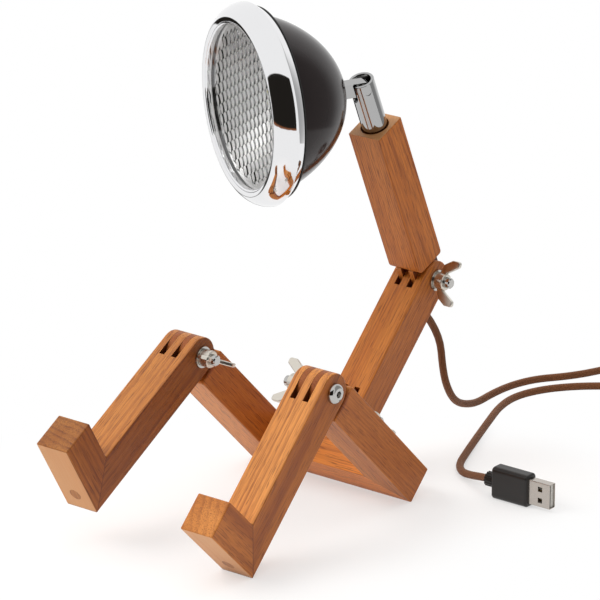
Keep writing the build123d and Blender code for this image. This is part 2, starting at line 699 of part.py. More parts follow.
def tangent_point(point, way, height):
    """Where a line from a point touches the coil's outer turn, with the coil on the right or left."""
    dx, dy = COIL_CENTRE[0] - point[0], COIL_CENTRE[1] - point[1]
    distance = hypot(dx, dy)
    angle = atan2(dy, dx) + way * asin(COIL_OUTER / distance)
    length = sqrt(distance**2 - COIL_OUTER**2)
    return (point[0] + length * cos(angle), point[1] + length * sin(angle), height)


OUTWARD.append(tangent_point(OUTWARD[-1], 1, COIL_FLOOR))
HOMEWARD.insert(0, tangent_point(HOMEWARD[0], -1, COIL_TOP))


def bend_radii(points):
    """Tangent arc at each corner, as large as its share of the shorter run allows."""
    places = [Vector(*point) for point in points]
    radii = []
    for before, here, after in zip(places, places[1:], places[2:]):
        run_in, run_out = here - before, after - here
        half_turn = radians(run_in.get_angle(run_out)) / 2
        radii.append(CORNER_SHARE * min(run_in.length, run_out.length) / tan(half_turn))
    return radii


def cord_tube(name, points):
    radii = bend_radii(points)
    path = FilletPolyline(*points, radius=radii)
    start = Plane(origin=path @ 0, z_dir=path % 0)
    tube = sweep(start * Circle(CORD / 2), path=path)
    print(name, "length", round(path.length, 1), "smallest radius", round(min(radii), 1),
          "in diameters", round(min(radii) / CORD, 1), "volume over section times length",
          round(tube.volume / (pi * (CORD / 2) ** 2 * path.length), 4))
    print(name, "radii", [round(radius) for radius in radii])
    return tube, path.length


def cord_coil():
    height = COIL_LAYERS * CORD
    coil = ring(COIL_OUTER + CORD / 2, COIL_INNER - CORD / 2, height, TIE_THICKNESS)
    coil = fillet(coil.edges().filter_by(GeomType.CIRCLE), COIL_ROUND)
    return Pos(*COIL_CENTRE, 0) * coil


def cord_tie():
    """Strap round the coil's bundle of turns."""
    inner_wall = sqrt((COIL_INNER - CORD / 2) ** 2 - (TIE_WIDTH / 2) ** 2) - TIE_PLAY
    outer_wall = COIL_OUTER + CORD / 2 + TIE_PLAY
    height = COIL_LAYERS * CORD
    middle = (inner_wall + outer_wall) / 2
    width = outer_wall - inner_wall
    strap = Box(width + 2 * TIE_THICKNESS, TIE_WIDTH, height + 2 * TIE_THICKNESS)
    strap -= Box(width, 2 * TIE_WIDTH, height)
    return Pos(*COIL_CENTRE, TIE_THICKNESS + height / 2) * Rot(0, 0, TIE_ANGLE) * Pos(middle, 0, 0) * strap


def coil_length():
    """Length of the turns: a spiral inward in the bottom layer and outward in the top one."""
    start, end = OUTWARD[-1], HOMEWARD[0]
    angle_in = atan2(start[1] - COIL_CENTRE[1], start[0] - COIL_CENTRE[0])
    angle_out = atan2(end[1] - COIL_CENTRE[1], end[0] - COIL_CENTRE[0])
    turns = 2 * int(COIL_TURNS_PER_LAYER) + (angle_in - angle_out) / (2 * pi)
    print("coil turns", round(turns, 3))
    return turns * 2 * pi * COIL_MEAN_RADIUS


def plug_frame():
    """Z along the plug, X up and Y to the broad face in front."""
    return Plane(origin=(*PLUG_START, PLUG_Z), x_dir=(0, 0, 1), z_dir=(1, 0, 0))


def plug_collar():
    collar = disc(COLLAR / 2, COLLAR_LENGTH, 0)
    flute = Pos(COLLAR / 2, 0, COLLAR_LENGTH / 2) * Cylinder(COLLAR_FLUTE / 2, COLLAR_LENGTH)
    return collar - [Rot(0, 0, 360 * i / COLLAR_FLUTES) * flute for i in range(COLLAR_FLUTES)]


def usb_box(shrink, length, z):
    box = Pos(0, 0, z + length / 2) * Box(USB_WIDTH - 2 * shrink, USB_THICKNESS - 2 * shrink, length)
    return fillet(box.edges().filter_by(Axis.Z), max(USB_ROUND - shrink, PIN_PLAY))


MOULD_END = COLLAR_LENGTH + MOULD_LENGTH
USB_FOOT = MOULD_END - USB_SEAT
USB_MOUTH = MOULD_END + USB_LENGTH


def plug_overmould():
    mould = Pos(0, 0, COLLAR_LENGTH + MOULD_LENGTH / 2) * Box(MOULD_WIDTH, MOULD_THICKNESS, MOULD_LENGTH)
    mould = fillet(mould.edges().filter_by(Axis.Z), MOULD_ROUND)
    mould = fillet(mould.faces().filter_by(Axis.Z).edges(), MOULD_END_ROUND)
    return mould - usb_box(0, USB_SEAT, USB_FOOT)


def plug_shell():
    shell = usb_box(0, USB_MOUTH - USB_FOOT, USB_FOOT) - usb_box(USB_WALL, USB_MOUTH - USB_FOOT, USB_FOOT)
    window = Box(USB_WINDOW, 2 * USB_THICKNESS, USB_WINDOW)
    return shell - [Pos(x, 0, USB_MOUTH - USB_WINDOW_BACK) * window
                    for x in (-USB_WINDOW_PITCH / 2, USB_WINDOW_PITCH / 2)]


def tongue_face():
    """Height of the tongue's contact side over the plug's middle plane."""
    return TONGUE_THICKNESS - (USB_THICKNESS / 2 - USB_WALL)


def plug_tongue():
    inside = usb_box(USB_WALL, USB_MOUTH - USB_FOOT - TONGUE_SET_BACK, USB_FOOT)
    gap = USB_THICKNESS
    gap_box = Pos(0, tongue_face() + gap / 2, (MOULD_END + USB_MOUTH) / 2) * Box(USB_WIDTH, gap, USB_LENGTH)
    return inside - gap_box


def plug_contacts():
    z = USB_MOUTH - 2 * TONGUE_SET_BACK - CONTACT_LENGTH / 2
    strip = Box(CONTACT_WIDTH, CONTACT_THICKNESS, CONTACT_LENGTH)
    height = tongue_face() + CONTACT_THICKNESS / 2
    return Compound(children=[Pos(x, height, z) * strip for x in CONTACT_PLACES])


# Placing

def place_torso():
    frame = along(HIP, BACK_UP)
    place("torso_bar", torso_bar(), frame)
    place("torso_lead", lead_elbow(LEAD / 2), frame)
    place("cord_gland", cord_gland(), frame)
    for name, pivot, angle in (("hip", HIP, HIP_WING_ANGLE), ("neck", NECK, NECK_WING_ANGLE)):
        place_fastener(name, pivot, -HALF, HALF, 1, angle)


def place_fastener(name, pivot, head_x, nut_x, outward, angle):
    """Bolt from head_x, washer and wing nut on nut_x, with the nut's end to +X or -X."""
    place(name + "_bolt", bolt(), across(pivot, head_x, outward))
    place(name + "_washer", washer(), across(pivot, nut_x, outward))
    place(name + "_wing_nut", wing_nut(), across(pivot, nut_x, outward, angle))


def place_hips():
    pelvis = along(PELVIS, BACK_UP)
    place("pelvis_bar", pelvis_bar(), pelvis)
    place("hip_tongue", hip_tongue(), along(HIP, -BACK_UP))
    for name, (side, _, _) in SIDES.items():
        place(name + "_thigh", thigh(side), along(KNEE, -AHEAD_UP, side * THIGH_X))
        place(name + "_mitre_dowel", dowel(side), pelvis)


def place_lower_legs():
    for name, (side, lean, wing_angle) in SIDES.items():
        frame = along(KNEE, shin_direction(lean), side * THIGH_X)
        place(name + "_shin", shin(), frame)
        place(name + "_foot", foot(), frame)
        place(name + "_heel_screw", heel_screw(), frame)
        place(name + "_sole_plug", sole_plug(), frame)
        place_fastener(name + "_knee", KNEE, side * OUTER_X, side * THIGH_GAP / 2, -side, wing_angle)


def post_frame():
    swivel = radians(HEAD_SWIVEL)
    neck_ahead = Vector(0, -NECK_UP.Z, NECK_UP.Y)
    pin_axis = Vector(1, 0, 0) * cos(swivel) - neck_ahead * sin(swivel)
    return Plane(origin=BLOCK_TOP, x_dir=pin_axis, z_dir=NECK_UP)


def place_neck():
    frame = along(NECK, NECK_UP)
    place("neck_block", neck_block(), frame)
    place("neck_lead", neck_lead(LEAD / 2), frame)
    post = post_frame()
    place("post_bush", post_bush(), post)
    place("post_tube", post_tube(), post)
    place("post_clip", post_clip(), post)
    place("tilt_pin", tilt_pin(), post)
    place("tilt_spacers", tilt_spacers(), post)


def head_frame():
    post = post_frame()
    tilt = radians(HEAD_TILT)
    ahead = post.z_dir * sin(tilt) - post.y_dir * cos(tilt)
    return Plane(origin=PIN_CENTRE, x_dir=post.x_dir, z_dir=ahead)


def place_head():
    frame = head_frame()
    for make in (head_bracket, bracket_washer, bracket_nut, bowl, bezel, lens, lens_gasket, reflector,
                 led_board, led_chip, heat_sink, driver_board):
        place(make.__name__, make(), frame)


def place_cord():
    tube, outward_length = cord_tube("cord", OUTWARD)
    tail, homeward_length = cord_tube("cord_tail", HOMEWARD)
    floor = Plane.XY
    place("cord", tube, floor, cord_nodes)
    place("cord_tail", tail, floor, cord_nodes)
    place("cord_coil", cord_coil(), floor, cord_nodes)
    place("cord_tie", cord_tie(), floor, cord_nodes)
    for make in (plug_collar, plug_overmould, plug_shell, plug_tongue, plug_contacts):
        place(make.__name__, make(), plug_frame(), cord_nodes)
    print("cord length in all", round(outward_length + homeward_length + coil_length(), 1))


place_torso()
place_hips()
place_lower_legs()
place_neck()
place_head()
place_cord()

# The origin is the middle of the lamp's footprint box, without the cord and its plug
boxes = [solid.bounding_box() for solid in nodes.values()]
low = [min(tuple(box.min)[i] for box in boxes) for i in range(3)]
high = [max(tuple(box.max)[i] for box in boxes) for i in range(3)]
move = (-(low[0] + high[0]) / 2, -(low[1] + high[1]) / 2, -low[2])
shift = Pos(*move)
print("moved by", move, "size", [top - bottom for bottom, top in zip(low, high)])

os.makedirs("parts", exist_ok=True)
for name, solid in {**nodes, **cord_nodes}.items():
    export_step(shift * solid, "parts/" + name + ".step")
print(len(nodes) + len(cord_nodes), "nodes")
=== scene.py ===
from math import acos, asin, atan2, ceil, cos, hypot, pi, radians, sin, sqrt, tan

import bmesh
import bpy
from mathutils import Matrix, Vector


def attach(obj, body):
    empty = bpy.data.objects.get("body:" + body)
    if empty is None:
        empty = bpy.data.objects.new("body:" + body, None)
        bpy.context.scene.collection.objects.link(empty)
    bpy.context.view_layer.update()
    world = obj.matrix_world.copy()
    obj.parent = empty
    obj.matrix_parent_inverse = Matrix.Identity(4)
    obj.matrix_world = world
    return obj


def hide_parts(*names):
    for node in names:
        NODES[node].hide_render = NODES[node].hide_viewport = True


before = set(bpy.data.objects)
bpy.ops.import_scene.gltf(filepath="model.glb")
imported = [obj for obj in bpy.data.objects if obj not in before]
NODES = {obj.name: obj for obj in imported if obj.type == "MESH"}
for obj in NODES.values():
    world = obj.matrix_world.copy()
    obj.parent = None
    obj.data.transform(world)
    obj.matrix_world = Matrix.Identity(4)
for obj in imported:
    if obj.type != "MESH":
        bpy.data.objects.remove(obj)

# Looks of the robot shaped desk lamp. Lengths are in metres unless a name ends in _mm, angles in degrees.
MM = 0.001
SCENE = bpy.context.scene
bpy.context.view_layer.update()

# Posture, as in the part's source. Bars lean forward (-Y) from upright, and back where less than 0.
START_mm = Vector((8.568, 36.578, 0.0))  # the source's starting point, seen from the row's origin
THIGH_LEAN = 45.0
TORSO_LEAN = -45.0
NECK_LEAN = 23.55
LEFT_SHIN_LEAN = -45.0
RIGHT_SHIN_LEAN = -60.0
FOOT_FROM_SHIN = 90.0
HEAD_SWIVEL = -29.5
HEAD_TILT = 18.9
BLOCK_TOP_mm = Vector((0.0, 32.347, 163.538))
POST_RISE_mm = 26.3
PIN_DROP_mm = 4.1
LEG_MIDDLE_mm = 38.0  # from the lamp's middle to a leg's middle
LEFT_HEEL_mm = (0.0, -114.55, 0.0)
RIGHT_HEEL_mm = (0.0, -130.72, 17.21)
KNEE_PIVOT_mm = (0.0, -20.7, 70.0)  # in the row's frame

# The cord and its coil, as in the part's source
CORD_mm = 3.6
COIL_CENTRE_mm = (54.0, 214.0)
COIL_OUTER_mm = 27.74
COIL_INNER_mm = 12.26
COIL_LOW_mm = 2.4
COIL_HIGH_mm = 6.0
COIL_TURNS = 8.652
COIL_RISING_TURNS = 0.36
COIL_POINTS_PER_TURN = 14
FLOOR_mm = CORD_mm / 2

# The head's turned parts, along its own axis from the tilt pin, as in the part's source
BOWL_CENTRE_mm = 70.2
BOWL_DEPTH_mm = 58.8
BOWL_RADIUS_mm = 44.25
BOWL_WALL_mm = 1.6
BOWL_PAD_mm = 5.5
STUD_HOLE_mm = 2.05
SEAM_mm = 47.8
RIM_mm = 54.0
RIDGE_mm = 52.0
FRONT_mm = 62.0
BEZEL_RADIUS_mm = 46.68
BEZEL_FRONT_RADIUS_mm = 41.0
REAR_BAND_mm = 2.9
BEZEL_PLAY_mm = 0.3
LIP_RADIUS_mm = 37.9
LENS_BACK_mm = 56.2
LENS_FRONT_mm = 58.6

# Details that only this script makes: the bezel's fine lip and groove, a black ring of painted shade in the
# seam behind the bezel and the lens's pillows
EDGE_EASE_mm = 0.22
LIP_WIDTH_mm = 0.8
LIP_DOWN_mm = 0.546
LIP_SET_BACK_mm = 1.1
GROOVE_WIDTH_mm = 0.3
GROOVE_EDGE_mm = 0.42
GROOVE_DEPTH_mm = 1.092
# A black ring of painted shade in the seam behind the bezel: its width, how far it stands out, and its gaps
# to the bezel and the bowl
SEAM_SHADE_mm = 0.5
SEAM_SHADE_STANDS_mm = 0.3
SEAM_SHADE_OFF_BEZEL_mm = 0.02
SEAM_SHADE_OFF_BOWL_mm = 0.03
CELL_mm = 5.2
CELL_TURN = 38.0
CELL_PARTS = 8
CELL_DEPTH_mm = 0.75
CELL_SPREAD_mm = CELL_mm * 0.56
PLAIN_RIM_mm = 2.6


def placed(x, y, z):
    """A point of the source, in metres in the row's frame."""
    return (Vector((x, y, z)) + START_mm) * MM


# Camera and cord come first

VIEW_AZIMUTH = 38.5
VIEW_ELEVATION = 19.36
VIEW_DISTANCE = 2.15067
VIEW_RIGHT = -0.01397
VIEW_UP = 0.08292
VIEW_REACH = 20.0
FOCAL_PIXELS = 4642.19
FRAME_PIXELS = 600
SENSOR_mm = 36.0


def make_camera():
    azimuth, elevation = radians(VIEW_AZIMUTH), radians(VIEW_ELEVATION)
    back = Vector((sin(azimuth) * cos(elevation), -cos(azimuth) * cos(elevation), sin(elevation)))
    right = Vector((cos(azimuth), sin(azimuth), 0.0))
    up = back.cross(right)
    camera = bpy.data.objects.new("camera", bpy.data.cameras.new("camera"))
    SCENE.collection.objects.link(camera)
    place = placed(0, 0, 0) + back * VIEW_DISTANCE + right * VIEW_RIGHT + up * VIEW_UP
    turn = Matrix((right, up, back)).transposed()
    camera.matrix_world = Matrix.Translation(place) @ turn.to_4x4()
    camera.data.sensor_width = SENSOR_mm
    camera.data.lens = SENSOR_mm * FOCAL_PIXELS / FRAME_PIXELS
    camera.data.clip_end = VIEW_REACH
    SCENE.camera = camera


make_camera()

OUTWARD_mm = [
    (4.4, 61.660, 68.731),
    (4.4, 77.570, 52.821),
    (5.9, 78.8, 30.6),
    (5.2, 84.8, 19.0),
    (2.4, 94.5, 10.8),
    (-0.8, 106.5, 5.4),
    (-3.6, 119.5, FLOOR_mm),
    (-5.2, 133.5, FLOOR_mm),
    (-5.0, 148.5, FLOOR_mm),
    (-0.8, 163.5, FLOOR_mm),
    (9.5, 176.5, FLOOR_mm),
    (17.0, 192.0, FLOOR_mm),
]
HOMEWARD_mm = [
    (48.5, 183.5, 3.2),
    (31.5, 177.0, FLOOR_mm),
    (19.5, 166.5, FLOOR_mm),
    (10.2, 153.5, FLOOR_mm),
    (5.6, 138.0, FLOOR_mm),
    (8.0, 122.0, FLOOR_mm),
    (15.3, 103.5, FLOOR_mm),
    (24.2, 81.5, FLOOR_mm),
    (32.5, 61.5, FLOOR_mm),
    (38.5, 48.0, FLOOR_mm),
    (46.0, 40.3, 2.2),
    (54.0, 36.8, 3.8),
    (62.5, 33.2, 6.2),
    (69.7, 30.5, 7.75),
]


def coil_points():
    """Clockwise turns from outside to inside in the lower layer and back out in the upper one."""
    centre_x, centre_y = COIL_CENTRE_mm
    dx, dy = centre_x - OUTWARD_mm[-1][0], centre_y - OUTWARD_mm[-1][1]
    first = atan2(dy, dx) + asin(COIL_OUTER_mm / hypot(dx, dy)) + pi / 2
    count = ceil(COIL_TURNS * COIL_POINTS_PER_TURN)
    layer_turns = (COIL_TURNS - COIL_RISING_TURNS) / 2
    points = []
    for i in range(count + 1):
        turns = COIL_TURNS * i / count
        from_end = min(turns, COIL_TURNS - turns)
        radius = COIL_OUTER_mm - (COIL_OUTER_mm - COIL_INNER_mm) * min(1.0, from_end / layer_turns)
        rise = min(1.0, max(0.0, (turns - layer_turns) / COIL_RISING_TURNS))
        angle = first - 2 * pi * turns
        height = COIL_LOW_mm + (COIL_HIGH_mm - COIL_LOW_mm) * (3 * rise**2 - 2 * rise**3)
        points.append((centre_x + radius * cos(angle), centre_y + radius * sin(angle), height))
    return points


def smooth_line(name, points, resolution=6):
    """The points that a NURBS line with these control points runs through."""
    data = bpy.data.curves.new(name, "CURVE")
    data.dimensions = "3D"
    data.resolution_u = resolution
    spline = data.splines.new("NURBS")
    spline.points.add(len(points) - 1)
    for point, place in zip(spline.points, points):
        point.co = (*place, 1.0)
    spline.order_u = 3
    spline.use_endpoint_u = True
    line = bpy.data.objects.new(name, data)
    SCENE.collection.objects.link(line)
    mesh = bpy.data.meshes.new_from_object(line)
    found = [vertex.co.copy() for vertex in mesh.vertices]
    bpy.data.objects.remove(line)
    bpy.data.meshes.remove(mesh)
    return found


def link_mesh(name, mesh, smooth=True):
    piece = bpy.data.objects.new(name, mesh)
    SCENE.collection.objects.link(piece)
    mesh.polygons.foreach_set("use_smooth", [smooth] * len(mesh.polygons))
    return piece


def form_to_mesh(name, form):
    mesh = bpy.data.meshes.new(name)
    form.to_mesh(mesh)
    form.free()
    return mesh


def tube(name, line, radius, sides=16):
    """Round tube along a line, with u round it and v along it in lengths of its girth."""
    form = bmesh.new()
    layer = form.loops.layers.uv.new("UVMap")
    befores, afters = [line[0]] + line[:-1], line[1:] + [line[-1]]
    tangents = [(after - before).normalized() for before, after in zip(befores, afters)]
    turns = [2 * pi * k / sides for k in range(sides)]
    side = tangents[0].orthogonal().normalized()
    rings, along, travelled = [], [], 0.0
    for place, before, tangent in zip(line, befores, tangents):
        side = (side - tangent * side.dot(tangent)).normalized()
        other = tangent.cross(side)
        travelled += (place - before).length
        along.append(travelled / (2 * pi * radius))
        ways = [side * cos(turn) + other * sin(turn) for turn in turns]
        rings.append([form.verts.new(place + way * radius) for way in ways])
    for i in range(len(rings) - 1):
        for k in range(sides):
            after = (k + 1) % sides
            face = form.faces.new((rings[i][k], rings[i][after], rings[i + 1][after], rings[i + 1][k]))
            spots = ((k, i), (k + 1, i), (k + 1, i + 1), (k, i + 1))
            for loop, (around, step) in zip(face.loops, spots):
                loop[layer].uv = (around / sides, along[step])
    form.faces.new(list(reversed(rings[0])))
    form.faces.new(rings[-1])
    return link_mesh(name, form_to_mesh(name, form))


def make_cord():
    route = [placed(*point) for point in OUTWARD_mm + coil_points() + HOMEWARD_mm]
    line = smooth_line("cord_route", route)
    cord = tube("textile_cord", line, CORD_mm / 2 * MM)
    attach(cord, "torso")
    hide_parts("cord", "cord_tail", "cord_coil")
    return cord


CORD = make_cord()


# Head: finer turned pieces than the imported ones, and the pressed lens

def neck_rise():
    """The direction in which the neck block and the post rise."""
    return Vector((0.0, -sin(radians(NECK_LEAN)), cos(radians(NECK_LEAN))))


def head_place():
    """From millimetres along the head's own axes to metres in the row's frame."""
    lean, tilt = radians(NECK_LEAN), radians(HEAD_TILT)
    rise = neck_rise()
    swivel = Matrix.Rotation(radians(HEAD_SWIVEL), 3, rise)
    across = swivel @ Vector((1.0, 0.0, 0.0))
    ahead = rise * sin(tilt) - (swivel @ Vector((0.0, cos(lean), sin(lean)))) * cos(tilt)
    origin = BLOCK_TOP_mm + rise * (POST_RISE_mm - PIN_DROP_mm) + START_mm
    turn = Matrix((across, ahead.cross(across), ahead)).transposed().to_4x4()
    return Matrix.Scale(MM, 4) @ Matrix.Translation(origin) @ turn


HEAD = head_place()


def eased(outline, ease, steps=4, straight_within=12.0, largest_share=0.4):
    """The closed outline with its corners rounded a little, and its nearly straight points as they were."""
    points = []
    count = len(outline)
    for i, corner in enumerate(outline):
        corner = Vector(corner)
        before, after = Vector(outline[i - 1]) - corner, Vector(outline[(i + 1) % count]) - corner
        if before.angle(-after) < radians(straight_within):
            points.append(corner)
            continue
        start = corner + before.normalized() * min(ease, before.length * largest_share)
        end = corner + after.normalized() * min(ease, after.length * largest_share)
        for k in range(steps + 1):
            t = k / steps
            points.append(start * (1 - t)**2 + corner * 2 * t * (1 - t) + end * t**2)
    return points


def spun(name, outline, segments=224, sharp_from=40.0):
    """A closed outline in radius and height, turned round the head's axis."""
    form = bmesh.new()
    turns = [2 * pi * k / segments for k in range(segments)]
    rings = [[form.verts.new(HEAD @ Vector((radius * cos(turn), radius * sin(turn), height)))
              for turn in turns] for radius, height in outline]
    for i in range(len(rings)):
        near, far = rings[i - 1], rings[i]
        for k in range(segments):
            after = (k + 1) % segments
            form.faces.new((near[k], near[after], far[after], far[k]))
    bmesh.ops.recalc_face_normals(form, faces=form.faces)
    mesh = form_to_mesh(name, form)
    piece = link_mesh(name, mesh)
    mesh.set_sharp_from_angle(angle=radians(sharp_from))
    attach(piece, "head")
    return piece


def bowl_radius(height):
    """The bowl's outer radius at this height."""
    return BOWL_RADIUS_mm * sqrt(1 - ((BOWL_CENTRE_mm - height) / BOWL_DEPTH_mm)**2)


def bowl_arc(wall, steps=40):
    """From the flat at the pole to the rim, along the outside or the inside of the wall."""
    first = asin(BOWL_PAD_mm / (BOWL_RADIUS_mm - wall))
    last = acos((BOWL_CENTRE_mm - RIM_mm) / (BOWL_DEPTH_mm - wall))
    angles = [first + (last - first) * i / steps for i in range(steps + 1)]
    return [((BOWL_RADIUS_mm - wall) * sin(angle), BOWL_CENTRE_mm - (BOWL_DEPTH_mm - wall) * cos(angle))
            for angle in angles]


def make_bowl():
    outside, inside = bowl_arc(0.0), bowl_arc(BOWL_WALL_mm)
    outline = [(STUD_HOLE_mm, outside[0][1])] + outside + inside[::-1] + [(STUD_HOLE_mm, inside[0][1])]
    piece = spun("lacquered_bowl", outline)
    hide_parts("bowl")
    return piece


def make_bezel(steps=28):
    """A rear band up to the ridge, the broad curved band, and a fine lip that holds the lens."""
    drop = BEZEL_RADIUS_mm - BEZEL_FRONT_RADIUS_mm
    length = FRONT_mm - RIDGE_mm
    bend = (length**2 + drop**2) / (2 * drop)
    angles = [asin(length / bend) * i / steps for i in range(steps + 1)]
    band = [(BEZEL_RADIUS_mm - bend * (1 - cos(angle)), RIDGE_mm + bend * sin(angle)) for angle in angles]
    cavity = bowl_radius(RIM_mm) + BEZEL_PLAY_mm
    back = [(cavity, RIM_mm), (bowl_radius(SEAM_mm) + BEZEL_PLAY_mm, SEAM_mm),
            (BEZEL_RADIUS_mm - REAR_BAND_mm, SEAM_mm)]
    lip = LIP_RADIUS_mm + LIP_WIDTH_mm
    front = [(lip + GROOVE_WIDTH_mm, FRONT_mm - GROOVE_EDGE_mm),
             (lip + GROOVE_WIDTH_mm / 2, FRONT_mm - GROOVE_DEPTH_mm), (lip, FRONT_mm - LIP_DOWN_mm),
             (LIP_RADIUS_mm, FRONT_mm - LIP_SET_BACK_mm), (LIP_RADIUS_mm, LENS_FRONT_mm),
             (cavity, LENS_FRONT_mm)]
    piece = spun("chrome_bezel", eased(back + band + front, EDGE_EASE_mm))
    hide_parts("bezel")
    return piece


def make_seam_shade():
    """A thin black ring between the bowl and the bezel's rear edge: painted shade in the seam."""
    back, front = SEAM_mm - SEAM_SHADE_mm, SEAM_mm - SEAM_SHADE_OFF_BEZEL_mm
    edge = BEZEL_RADIUS_mm - REAR_BAND_mm + SEAM_SHADE_STANDS_mm
    return spun("bezel_seam_shade", [(bowl_radius(back) + SEAM_SHADE_OFF_BOWL_mm, back), (edge, back), (edge, front),
                               (bowl_radius(front) + SEAM_SHADE_OFF_BOWL_mm, front)])


def pillow(x, y):
    """How far the lens's back lies in at this point: least in the middle of each six-sided cell."""
    row = round(y / (CELL_mm * sqrt(3) / 2))
    centres = []
    for near_row in (row - 1, row, row + 1):
        offset = CELL_mm / 2 * (near_row % 2)
        centre_y = near_row * CELL_mm * sqrt(3) / 2
        centre_x = round((x - offset) / CELL_mm) * CELL_mm + offset
        centres.append((hypot(x - centre_x, y - centre_y), hypot(centre_x, centre_y)))
    away, from_middle = min(centres, key=lambda centre: centre[0])
    if from_middle > LIP_RADIUS_mm - PLAIN_RIM_mm - CELL_mm / 2:
        return CELL_DEPTH_mm / 2
    return CELL_DEPTH_mm * min(1.0, (away / CELL_SPREAD_mm)**2)


def make_lens(edge_margin=0.4, sharp_from=50.0):
    """A clear disc with rows of six-sided pillows pressed into its back, inside a plain rim."""
    step = CELL_mm / CELL_PARTS
    rise = step * sqrt(3) / 2
    outer = bowl_radius(RIM_mm)
    reach = ceil(outer / rise) + 1
    turned = HEAD @ Matrix.Rotation(radians(CELL_TURN), 4, "Z")
    form = bmesh.new()
    rows = []
    for j in range(-reach, reach + 1):
        row = {}
        for i in range(-2 * reach, 2 * reach + 1):
            x, y = (i + 0.5 * (j % 2)) * step, j * rise
            if hypot(x, y) <= outer - edge_margin * step:
                row[i] = form.verts.new(turned @ Vector((x, y, LENS_BACK_mm + pillow(x, y))))
        rows.append(row)
    for j in range(len(rows) - 1):
        odd = (j - reach) % 2
        low, high = rows[j], rows[j + 1]
        for i in low:
            for corners in ((low.get(i), low.get(i + 1), high.get(i + odd)),
                            (low.get(i), high.get(i + odd), high.get(i + odd - 1))):
                if None not in corners:
                    form.faces.new(corners)
    back_edge = [edge for edge in form.edges if edge.is_boundary]
    lifted = bmesh.ops.extrude_edge_only(form, edges=back_edge)["geom"]
    into_head = HEAD.inverted()
    for item in lifted:
        if isinstance(item, bmesh.types.BMVert):
            local = into_head @ item.co
            item.co = HEAD @ Vector((local.x, local.y, LENS_FRONT_mm))
    rim = [item for item in lifted if isinstance(item, bmesh.types.BMEdge) and item.is_boundary]
    bmesh.ops.contextual_create(form, geom=rim)
    bmesh.ops.recalc_face_normals(form, faces=form.faces)
    mesh = form_to_mesh("pressed_lens", form)
    piece = link_mesh("pressed_lens", mesh)
    mesh.set_sharp_from_angle(angle=radians(sharp_from))
    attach(piece, "head")
    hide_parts("lens")
    return piece


BOWL = make_bowl()
BEZEL = make_bezel()
SEAM_SHADE_RING = make_seam_shade()
LENS = make_lens()


# Materials

class Nodes:
    """A node tree, with short calls that make and join its nodes."""

    def __init__(self, tree):
        self.tree = tree

    def add(self, kind, inputs=(), **settings):
        node = self.tree.nodes.new("ShaderNode" + kind)
        for key, value in settings.items():
            setattr(node, key, value)
        for key, value in dict(inputs).items():
            self.put(node.inputs[key], value)
        return node

    def put(self, socket, value):
        if isinstance(value, bpy.types.NodeSocket):
            self.tree.links.new(value, socket)
        else:
            socket.default_value = value

    def noise(self, vector, scale, detail=2.0, rough=0.5):
        made = self.add("TexNoise", {"Vector": vector, "Scale": scale, "Detail": detail, "Roughness": rough})
        return made.outputs["Fac"]

    def math(self, operation, first, second=0.0, third=0.0):
        node = self.add("Math", operation=operation)
        for socket, value in zip(node.inputs, (first, second, third)):
            self.put(socket, value)
        return node.outputs[0]

    def product(self, first, *others):
        for other in others:
            first = self.math("MULTIPLY", first, other)
        return first

    def part(self, vector, axis):
        """A vector's x, y or z, for axis 0, 1 or 2."""
        return self.add("SeparateXYZ", {"Vector": vector}).outputs[axis]

    def distance(self, first, second):
        return self.add("VectorMath", {0: first, 1: second}, operation="DISTANCE").outputs["Value"]

    def dot(self, first, second):
        return self.add("VectorMath", {0: first, 1: second}, operation="DOT_PRODUCT").outputs["Value"]

    def step(self, value, low, high):
        """Rises smoothly from 0 at low to 1 at high, or falls where high is the lesser."""
        node = self.add("MapRange", {"Value": value, "From Min": low, "From Max": high},
                        interpolation_type="SMOOTHSTEP")
        return node.outputs["Result"]

    def ramp(self, value, *stops):
        """Grey levels between the stops given as (position, level)."""
        node = self.add("ValToRGB", {"Fac": value})
        elements = node.color_ramp.elements
        while len(elements) < len(stops):
            elements.new(0.5)
        for element, (position, level) in zip(elements, stops):
            element.position = position
            element.color = (level, level, level, 1.0)
        return node.outputs["Color"]

    def mix(self, factor, first, second, blend="MIX"):
        node = self.add("Mix", data_type="RGBA", blend_type=blend)
        self.put(node.inputs["Factor"], factor)
        for socket, value in zip((node.inputs[6], node.inputs[7]), (first, second)):
            self.put(socket, (*value, 1.0) if isinstance(value, tuple) else value)
        return node.outputs[2]

    def tinted(self, colour, tint):
        return self.mix(1.0, colour, tint, "MULTIPLY")

    def rays(self, *kinds):
        """1 for rays of these kinds and 0 for others."""
        outputs = self.add("LightPath").outputs
        level = outputs[kinds[0]]
        for kind in kinds[1:]:
            level = self.math("MAXIMUM", level, outputs[kind])
        return level


class Shader(Nodes):
    """A material with its node tree."""

    SOCKETS = {"color": "Base Color", "rough": "Roughness", "metal": "Metallic", "normal": "Normal",
               "specular": "Specular IOR Level", "glass": "Transmission Weight", "ior": "IOR",
               "sheen": "Sheen Weight", "sheen_rough": "Sheen Roughness"}

    def __init__(self, name):
        self.material = bpy.data.materials.new(name)
        self.material.use_nodes = True
        super().__init__(self.material.node_tree)
        self.surface = self.tree.nodes["Principled BSDF"]

    def set(self, **inputs):
        for key, value in inputs.items():
            self.put(self.surface.inputs[self.SOCKETS[key]], value)
        return self.material

    def spot(self):
        """The point's place, in metres in the row's frame."""
        return self.add("TexCoord").outputs["Object"]

    def place(self, turn=(0, 0, 0), scale=(1, 1, 1), shift=(0, 0, 0)):
        """The point's place, shifted, turned and scaled."""
        moved = self.add("Mapping", {"Vector": self.spot(), "Location": shift})
        turned = self.add("Mapping", {"Vector": moved.outputs[0], "Rotation": turn})
        return self.add("Mapping", {"Vector": turned.outputs[0], "Scale": scale}).outputs[0]

    def bump(self, height, strength, distance):
        return self.add("Bump", {"Height": height, "Strength": strength, "Distance": distance}).outputs[0]


